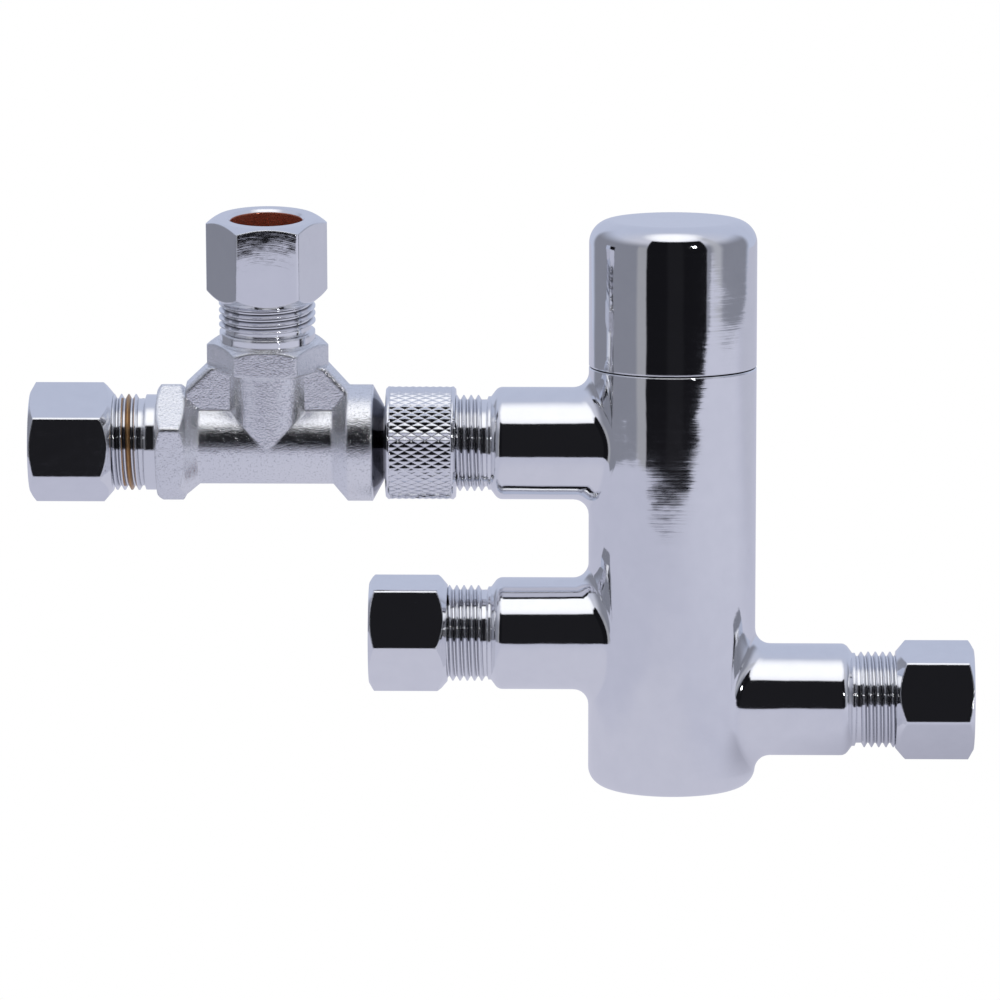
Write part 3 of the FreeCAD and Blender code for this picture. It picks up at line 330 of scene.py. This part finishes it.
def boss_flat(m, at):
    """The bosses are buffed a little flat in front, just under their axes."""
    x, y, z = m.split(at)
    seats = (COLD_Z, HOT_Z, OUTLET_Z)
    cold, hot, outlet = [(z - seat * MM).rise(-8 * MM, 2 * MM) for seat in seats]
    height = m.mix(cold + hot, outlet, x.rise(-1 * MM, 1 * MM))
    off = from_axis(m, at, COLD_Z).math("MINIMUM", from_axis(m, at, HOT_Z))
    off = off.math("MINIMUM", from_axis(m, at, OUTLET_Z))
    share = x.math("ABSOLUTE").rise(11.8 * MM, 13.4 * MM) * (1 - off.rise(12.7 * MM, 13.8 * MM))
    return height * -BOSS_FLAT * MM, share


def face_swell(m, at):
    """The upright nut's faces are buffed a little round from top to bottom."""
    run, branch = along_tee(m, at)
    lift = branch - TOP_NUT_MIDDLE * MM
    return lift * lift * -FACE_SWELL, 1.0


# Local colours: each takes the plating's colour and roughness, and gives the metallic share too


def split_shadow(m, at, tint, rough):
    """Painted shade at the bottom of the groove between body and cap."""
    x, y, z = m.split(at)
    off = (x * x + y * y).math("SQRT")
    deep = off.between((BODY_R - 0.5) * MM, (BODY_R - 0.17) * MM, 0.03 * MM)
    dark = deep * z.between((SPLIT_Z - 0.5) * MM, (SPLIT_Z + 0.5) * MM, 0.1 * MM)
    return m.mix(tint, SPLIT_PAINTED_SHADE, dark), rough, 1.0


def bare_bore(seat_z, upright=False):
    """Leaves the inside of a nut's mouth as bare metal, without plating."""
    def colour(m, at, tint, rough):
        off = from_axis(m, at, seat_z, upright)
        bare = 1 - off.rise((NUT_MOUTH_R + 0.02) * MM, (NUT_MOUTH_R + 0.12) * MM)
        stain = m.noise(at, 500.0, 4.0, 0.6)
        metal = m.mix(*BORE_METAL, stain)
        return m.mix(tint, metal, bare), rough + bare * 0.18, 1 - bare * 0.3
    return colour


def groove(seat_z, upright=False, worn=False, foot_shade=BODY_GROOVE_SHADE):
    """Darkens the foot of a thread with painted shade; worn browns one turn of it, where the
    plating is gone.
    """
    def colour(m, at, tint, rough):
        # Painted shade in the groove at the thread's foot
        foot = 1 - from_axis(m, at, seat_z, upright).rise(9.55 * MM, 10.15 * MM)
        tint = m.mix(tint, foot_shade, foot)
        if not worn:
            return tint, rough + foot * 0.1, 1.0
        x, y, z = m.split(at)
        run, branch = along_tee(m, at)
        level = y * math.cos(TEE_LEAN) + (z - COLD_Z * MM) * math.sin(TEE_LEAN)
        angle = level.math("ARCTAN2", branch) / (2 * math.pi)
        turn = (run / MM - TEE_END_THREAD_START) / THREAD_PITCH - 0.5
        crests = turn - angle + 0.5
        off_crest = crests.math("FRACT") - 0.5
        brown = (1 - off_crest.math("ABSOLUTE").rise(0.30, 0.42)) * crests.between(2, 3, 0.02)
        metal = m.mix(*WORN_METAL, m.noise(at, 700.0, 3.0))
        return m.mix(tint, metal, brown), rough + brown * 0.25, 1.0
    return colour


# Metals and the other finishes


def chrome(name, edge, marks=mop_marks, form=None, colour=None, waves=WAVE_DEPTH):
    """Bright plating; edge is how far its corners are buffed round."""
    m = Material(name)
    at = m.place()
    normal = m.bump(m.noise(at, 75.0, 1.0), 0.9, SWELL_DEPTH, m.rounded(edge))
    normal = m.bump(m.noise(at, 380.0, 1.0), 1.0, waves, normal)
    if form:
        height, share = form(m, at)
        normal = m.mix(normal, m.bump(height, 1.0, 1.0, normal), share)
    lines, depth = marks(m, at)
    normal = m.bump(lines, 0.5, depth, normal)
    tint = m.mix(*PLATING, m.noise(at, 260.0, 3.0))
    rough = 0.03 + lines * 0.05
    metallic = 1.0
    if colour:
        tint, rough, metallic = colour(m, at, tint, rough)
    return m.surface(base_color=tint, metallic=metallic, roughness=rough, normal=normal)


def cast_chrome(name):
    """Plating over a sand casting, with its turned ends smooth and painted shade on the cone past
    its flange.
    """
    m = Material(name)
    at = m.place()
    run, branch = along_tee(m, at)
    turned = (run.rise(*TURNED_END) + branch.rise(*TURNED_TOP)
              + (0 - run).rise(*TURNED_FLANGE)).math("MINIMUM", 1.0)
    grain = m.noise(at, 3000.0, 2.0, 0.6)
    swells = m.noise(at, 700.0, 1.0)
    height = (grain * 0.6 + swells * 0.3) * (1 - turned)
    normal = m.bump(height, 1.0, CAST_GRAIN_DEPTH, m.rounded(CASTING_EDGE))
    specks = m.noise(at, 2300.0, 1.0).rise(0.58, 0.70)
    tint = m.mix(*CASTING, specks * (1 - turned))
    # Painted shade on the cone past the flange
    tint = m.mix(tint, CASTING_SHADOW, (0 - run).between(*FLANGE_SHADOW, 0.0002))
    rough = 0.05 + (0.06 + grain * 0.09) * (1 - turned)
    return m.surface(base_color=tint, metallic=1.0, roughness=rough, normal=normal)


def plain_metal(name, light, dark, rough):
    m = Material(name)
    at = m.place()
    lines = m.noise(m.stretched(at, (1, 1, 8)), 1400.0, 2.0)
    cloud = m.noise(at, 160.0, 4.0)
    return m.surface(
        base_color=m.mix(light, dark, cloud), metallic=1.0,
        roughness=rough + lines * 0.12,
        normal=m.bump(lines, 0.2, FINE_GRAIN_DEPTH))


def moulded(name, light, dark, rough):
    m = Material(name)
    at = m.place()
    grain = m.noise(at, 2200.0, 2.0)
    return m.surface(
        base_color=m.mix(light, dark, m.noise(at, 300.0, 3.0)),
        roughness=rough + grain * 0.1, normal=m.bump(grain, 0.3, FINE_GRAIN_DEPTH))


PLATED = chrome("plated_chrome", UNION_EDGE)
BODY_PLATED = chrome("plated_body", BODY_EDGE, body_marks, boss_flat, split_shadow,
                     BODY_WAVE_DEPTH)
FINISHES = {
    "chrome": PLATED,
    "cast_chrome": cast_chrome("plated_casting"),
    "brass": plain_metal("turned_brass", (0.80, 0.60, 0.30), (0.66, 0.47, 0.22), 0.18),
    "copper": plain_metal("drawn_copper", (0.70, 0.26, 0.14), (0.45, 0.12, 0.06), 0.24),
    "steel": plain_metal("stainless", (0.68, 0.68, 0.69), (0.55, 0.55, 0.56), 0.20),
    "rubber": moulded("rubber_black", (0.02, 0.02, 0.02), (0.035, 0.035, 0.035), 0.5),
    "fibre": moulded("pressed_fibre", (0.42, 0.11, 0.07), (0.30, 0.08, 0.05), 0.6),
    "cartridge_plastic": moulded("sleeve_plastic", (0.80, 0.80, 0.75), (0.70, 0.70, 0.66), 0.4),
    "valve_plastic": moulded("check_plastic", (0.10, 0.20, 0.42), (0.07, 0.15, 0.34), 0.35),
}
OWN_FINISHES = {"valve_body": BODY_PLATED, "cover_cap": BODY_PLATED}
for name, seat_z in (("hot_nut", HOT_Z), ("outlet_nut", OUTLET_Z), ("tee_end_nut", COLD_Z)):
    OWN_FINISHES[name] = chrome(name + "_plating", NUT_EDGE, colour=bare_bore(seat_z))
OWN_FINISHES["tee_top_nut"] = chrome("tee_top_nut_plating", NUT_EDGE, bowed_marks, face_swell,
                                     bare_bore(COLD_Z, upright=True))


for name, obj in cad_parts.items():
    for slot in obj.material_slots:
        key = slot.material.name.split(".")[0] if slot.material else ""
        if key in FINISHES:
            slot.material = OWN_FINISHES.get(name, FINISHES[key])


def placed(name, data):
    obj = bpy.data.objects.new(name, data)
    bpy.context.collection.objects.link(obj)
    return obj


def closed_piece(name, bm, finish):
    bmesh.ops.recalc_face_normals(bm, faces=bm.faces)
    mesh = bpy.data.meshes.new(name)
    bm.to_mesh(mesh)
    bm.free()
    mesh.materials.append(finish)
    return placed(name, mesh)


# Threads: ridges round the spigots' plain cores


def thread_ridge(name, body, seat, start, end, foot):
    """A helical ridge along +Z of its seat, from start to end."""
    core = THREAD_ROOT_R - RIDGE_SUNK
    turns = (end - start - THREAD_PITCH) / THREAD_PITCH
    rows = []
    for i in range(int(turns * RIDGE_STEPS) + 1):
        turn = i / RIDGE_STEPS
        run_in = min(1, turn / RIDGE_RUN_IN_TURNS, (turns - turn) / RIDGE_RUN_IN_TURNS)
        crest_r = core + (THREAD_CREST_R - core) * max(run_in, 0.02)
        z = start + THREAD_PITCH * (0.5 + turn)
        angle = 2 * math.pi * turn
        rows.append([
            (r * math.cos(angle), r * math.sin(angle), z + dz)
            for r, dz in ((core, -RIDGE_FLANK), (crest_r, -RIDGE_CREST),
                          (crest_r, RIDGE_CREST), (core, RIDGE_FLANK))])
    bm = bmesh.new()
    grid = [[bm.verts.new(seat @ Vector(p) * MM) for p in row] for row in rows]
    for low, high in zip(grid, grid[1:]):
        for j in range(3):
            bm.faces.new((low[j], high[j], high[j + 1], low[j + 1]))
        bm.faces.new((low[3], high[3], high[0], low[0]))
    bm.faces.new(grid[0])
    bm.faces.new(reversed(grid[-1]))
    obj = closed_piece(name, bm, chrome(name + "_plating", THREAD_EDGE, colour=foot))
    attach(obj, body)


def laid_left(x, z):
    return Matrix.Translation((x, 0, z)) @ Matrix.Rotation(math.radians(-90), 4, "Y")


def laid_right(x, z):
    return Matrix.Translation((x, 0, z)) @ Matrix.Rotation(math.radians(90), 4, "Y")


TEE_SEAT = Matrix.Translation((TEE_X, 0, COLD_Z)) @ Matrix.Rotation(TEE_LEAN, 4, "X")

thread_ridge("cold_thread", "root", laid_left(0, COLD_Z), THREAD_START, COLD_END, groove(COLD_Z))
thread_ridge("hot_thread", "root", laid_left(0, HOT_Z), THREAD_START, HOT_END, groove(HOT_Z))
thread_ridge("outlet_thread", "root", laid_right(0, OUTLET_Z), THREAD_START, OUTLET_END,
             groove(OUTLET_Z))
thread_ridge("tee_end_thread", "tee", TEE_SEAT @ laid_left(0, 0),
             TEE_END_THREAD_START, TEE_END_THREAD_END,
             groove(COLD_Z, worn=True, foot_shade=TEE_END_GROOVE_SHADE))
thread_ridge("tee_top_thread", "tee", TEE_SEAT, TEE_TOP_THREAD_START, TEE_TOP_THREAD_END,
             groove(COLD_Z, upright=True, foot_shade=TEE_TOP_GROOVE_SHADE))


# The union nut, with its knurl


def knurl_height(u, v):
    """Height of the knurl, 0 in a groove and 1 on a peak, and the family of the nearer groove."""
    first = abs((u + v + 0.5) % 1 - 0.5) * 2
    second = abs((u - v + 0.5) % 1 - 0.5) * 2
    return min(first, second), first < second


def knurled_nut():
    union_low, union_high = node_box("union_nut")
    low, high = -union_high[0], -union_low[0]
    band_low, band_high = low + KNURL_FROM_LOW_END, high - KNURL_FROM_HIGH_END
    middle = high - KNURL_CROSSING
    span = KNURL_STEP / KNURL_PARTS
    first = math.ceil((band_low - middle) / span)
    last = math.floor((band_high - middle) / span)
    around = KNURL_ROUND * KNURL_PARTS
    edge_r = UNION_NUT_R - UNION_CHAMFER
    inside = [(UNION_BORE_R, low), (edge_r, low), (UNION_NUT_R, low + UNION_CHAMFER)]
    beyond = [(UNION_NUT_R, high - UNION_CHAMFER), (edge_r, high), (UNION_LIP_R, high),
              (UNION_LIP_R, high - UNION_LIP), (UNION_BORE_R, high - UNION_LIP)]
    knurl = [(UNION_NUT_R, middle + (first - 0.4) * span, None)]
    knurl += [(UNION_NUT_R, middle + k * span, k / KNURL_PARTS) for k in range(first, last + 1)]
    knurl += [(UNION_NUT_R, middle + (last + 0.4) * span, None)]
    rows = [(r, z, None) for r, z in inside] + knurl + [(r, z, None) for r, z in beyond]
    bm = bmesh.new()
    seat = laid_left(0, COLD_Z)
    grid = []
    for r, z, v in rows:
        ring = []
        for i in range(around):
            u = i / KNURL_PARTS
            sunk = 0 if v is None else KNURL_DEPTH * (1 - knurl_height(u, v)[0])
            angle = 2 * math.pi * i / around
            point = Vector(((r - sunk) * math.cos(angle), (r - sunk) * math.sin(angle), z))
            ring.append(bm.verts.new(seat @ point * MM))
        grid.append(ring)
    grid.append(grid[0])
    rows.append(rows[0])
    for j, (ring, after) in enumerate(zip(grid, grid[1:])):
        cut = rows[j][2] is not None and rows[j + 1][2] is not None
        for i in range(around):
            k = (i + 1) % around
            corners = (ring[i], ring[k], after[k], after[i])
            if not cut:
                bm.faces.new(corners)
                continue
            v = (rows[j][2] + rows[j + 1][2]) / 2
            if knurl_height((i + 0.5) / KNURL_PARTS, v)[1]:
                bm.faces.new((corners[0], corners[1], corners[3]))
                bm.faces.new((corners[1], corners[2], corners[3]))
            else:
                bm.faces.new((corners[0], corners[1], corners[2]))
                bm.faces.new((corners[0], corners[2], corners[3]))
    obj = closed_piece("union_nut_knurled", bm, PLATED)
    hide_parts("union_nut")
    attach(obj, "union_ring_nut")


knurled_nut()


# Springs: each is copied from its part, which is hidden, and stays as it is


def closing_spring(node, held_by, pushes, axis):
    """held_by and pushes are a body each, with where that end is along the axis, in mm; they are
    not used.
    """
    low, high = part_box(node)
    for body, place in (held_by, pushes):
        end = [(a + b) / 2 for a, b in zip(low, high)]
        end[axis] = place * MM
    spring = placed(node + "_coils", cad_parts[node].data.copy())
    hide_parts(node)
    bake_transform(spring)


ACROSS, UPRIGHT = 0, 2
closing_spring("overload_spring", ("carrier", 84.0), ("plunger", 75.8), UPRIGHT)
closing_spring("return_spring", ("root", 27.9), ("shuttle", 55.3), UPRIGHT)
closing_spring("cold_check_spring", ("root", -21.4), ("cold_poppet", -30.0), ACROSS)
closing_spring("hot_check_spring", ("root", -21.4), ("hot_poppet", -30.0), ACROSS)


# Studio: a white sheet on the bench, soft light all round and a dark room in front.
# Strips of the walls are in degrees to the right of the front, and heights in degrees.

WALL_COOL, WALL_WARM = (0.525, 0.57, 0.72), (0.62, 0.63, 0.72)
GREY_WALLS, GREY_TONE = ((-139, -36, 6), (42, 123, 7)), (0.24, 0.25, 0.30)
PALE_STRIP, PALE_TONE = (56, 70, 5), (0.48, 0.49, 0.54)
DIM_STRIP, DIM_TONE = (-51, -30, 3), (0.36, 0.365, 0.40)
POST, POST_TONE = (-95.5, -92.5, 0.5), (0.02, 0.02, 0.03)
OVERHEAD_TILT, OVERHEAD_EDGE, OVERHEAD_CORE = 71, 33, 6
OVERHEAD_TONE = (1.16, 1.17, 1.22)
ROOM, ROOM_MIDDLE = (-37, 47, 1.2), (-8, 14, 3)
ROOM_TONE, ROOM_MIDDLE_TONE = (0.0075, 0.0075, 0.0095), (0.0125, 0.0125, 0.015)
LAMP_ACROSS, LAMP_UP, LAMP_TONE = (27, 31, 0.6), (18, 22, 0.6), (34.0, 34.0, 35.0)


def studio_light():
    w = Studio("studio")
    toward = w.node("TexCoord", output="Generated")
    x, y, z = w.split(toward)
    across = x.math("ARCTAN2", 0 - y) * DEGREES
    up = z.math("ARCSINE") * DEGREES
    walls = w.mix(WALL_COOL, WALL_WARM, (0 - y).rise(-0.5, 0.6))
    left, right = GREY_WALLS
    grey = across.between(*left) + across.between(*right)
    walls = w.mix(walls, GREY_TONE, grey * (1 - up.rise(14, 44)))
    walls = w.mix(walls, PALE_TONE, across.between(*PALE_STRIP) * 0.8)
    walls = w.mix(walls, DIM_TONE, across.between(*DIM_STRIP) * (1 - up.rise(8, 30)))
    post = across.between(*POST) * (1 - up.rise(2, 6))
    walls = w.mix(walls, POST_TONE, post * 0.85)
    tilt = math.radians(OVERHEAD_TILT)
    square_on = z * math.sin(tilt) - y * math.cos(tilt)
    overhead = square_on.rise(
        math.cos(math.radians(OVERHEAD_EDGE)), math.cos(math.radians(OVERHEAD_CORE)))
    light = w.mix(walls, OVERHEAD_TONE, overhead)
    dark = across.between(*ROOM) * (1 - up.rise(47.5, 50))
    room = w.mix(ROOM_TONE, ROOM_MIDDLE_TONE, across.between(*ROOM_MIDDLE))
    light = w.mix(light, room, dark)
    lamp = across.between(*LAMP_ACROSS) * up.between(*LAMP_UP)
    light = w.mix(light, LAMP_TONE, lamp)
    glow = w.node("Background", {}, {"Color": light, "Strength": 1.0})
    white = w.node("Background", {}, {"Color": (1, 1, 1, 1), "Strength": 1.0})
    seen = w.node("LightPath", output="Is Camera Ray")
    w.end(w.node("MixShader", {}, {0: seen, 1: glow, 2: white}))
    bpy.context.scene.world = w.owner


# The sheet's corners, and the middle of the painted shadow under the body, in metres

SHEET_CORNERS = [
    (-0.49, 0.0), (-0.485, -0.2), (-0.38, -0.335), (-0.22, -0.383), (-0.126, -0.40),
    (0.0, -0.416), (0.14, -0.424), (0.40, -0.475), (0.75, -0.54), (0.75, 4.0),
    (-0.43, 4.0), (-0.43, 0.12)]
SHEET_LEFT, SHEET_RIGHT = (0.53, 0.54, 0.66), (0.60, 0.61, 0.73)
SHEET_FAR, SHEET_NEAR = (0.52, 0.53, 0.635), (0.585, 0.59, 0.70)
SHADE_X, SHADE_Y, SHADE_TONE, SHADE_SHARE = 0.062, 0.018, (0.30, 0.30, 0.37), 0.6


def bench_sheet():
    """The white sheet under the valve, glowing with painted light and a painted shadow; past its
    near edge is the dark room.
    """
    mesh = bpy.data.meshes.new("sheet")
    mesh.from_pydata([(x, y, 0) for x, y in SHEET_CORNERS], [], [range(len(SHEET_CORNERS))])
    obj = placed("sheet", mesh)
    m = Material("white_sheet")
    seen = m.node("LightPath", output="Is Camera Ray")
    x, y, z = m.split(m.place())
    # Painted light: the sheet's glow changes from left to right and far off
    to_right = x.rise(-0.15, 0.35) * (1 - y.rise(0, 0.25))
    lit = m.mix(SHEET_LEFT, SHEET_RIGHT, to_right)
    lit = m.mix(lit, SHEET_FAR, x.rise(0.15, 0.4) * y.rise(0.1, 0.3))
    # Painted light: the sheet is lighter near the valve's middle
    near = y.rise(-0.3, -0.06) * x.between(-0.10, 0.035, 0.03)
    lit = m.mix(lit, SHEET_NEAR, near)
    # Painted shadow of the valve's outlet on the sheet
    across, away = x - SHADE_X, y - SHADE_Y
    off = (across * across + away * away).math("SQRT")
    lit = m.mix(lit, SHADE_TONE, SHADE_SHARE - off.rise(0.008, 0.055) * SHADE_SHARE)
    colour = m.mix(lit, (1.0, 1.0, 1.0), seen)
    m.end(m.node("Emission", {}, {"Color": colour, "Strength": 1.0}))
    mesh.materials.append(m.owner)


studio_light()
bench_sheet()


CAMERA_DISTANCE = 1.6
CAMERA_ELEVATION = math.radians(9.2)
CAMERA_YAW = math.radians(1.1)
CAMERA_TARGET = (-37.6, 0, 63.0)
CAMERA_LENS = 263.8


def camera():
    back = Vector((
        math.sin(CAMERA_YAW) * math.cos(CAMERA_ELEVATION),
        -math.cos(CAMERA_YAW) * math.cos(CAMERA_ELEVATION),
        math.sin(CAMERA_ELEVATION)))
    data = bpy.data.cameras.new("camera")
    data.lens = CAMERA_LENS
    data.sensor_width = 36.0
    data.clip_start = 0.05
    data.clip_end = 20.0
    obj = placed("camera", data)
    obj.location = Vector(CAMERA_TARGET) * MM + back * CAMERA_DISTANCE
    obj.rotation_euler = back.to_track_quat("Z", "Y").to_euler()
    bpy.context.scene.camera = obj


camera()
bpy.context.scene.view_settings.view_transform = "Standard"
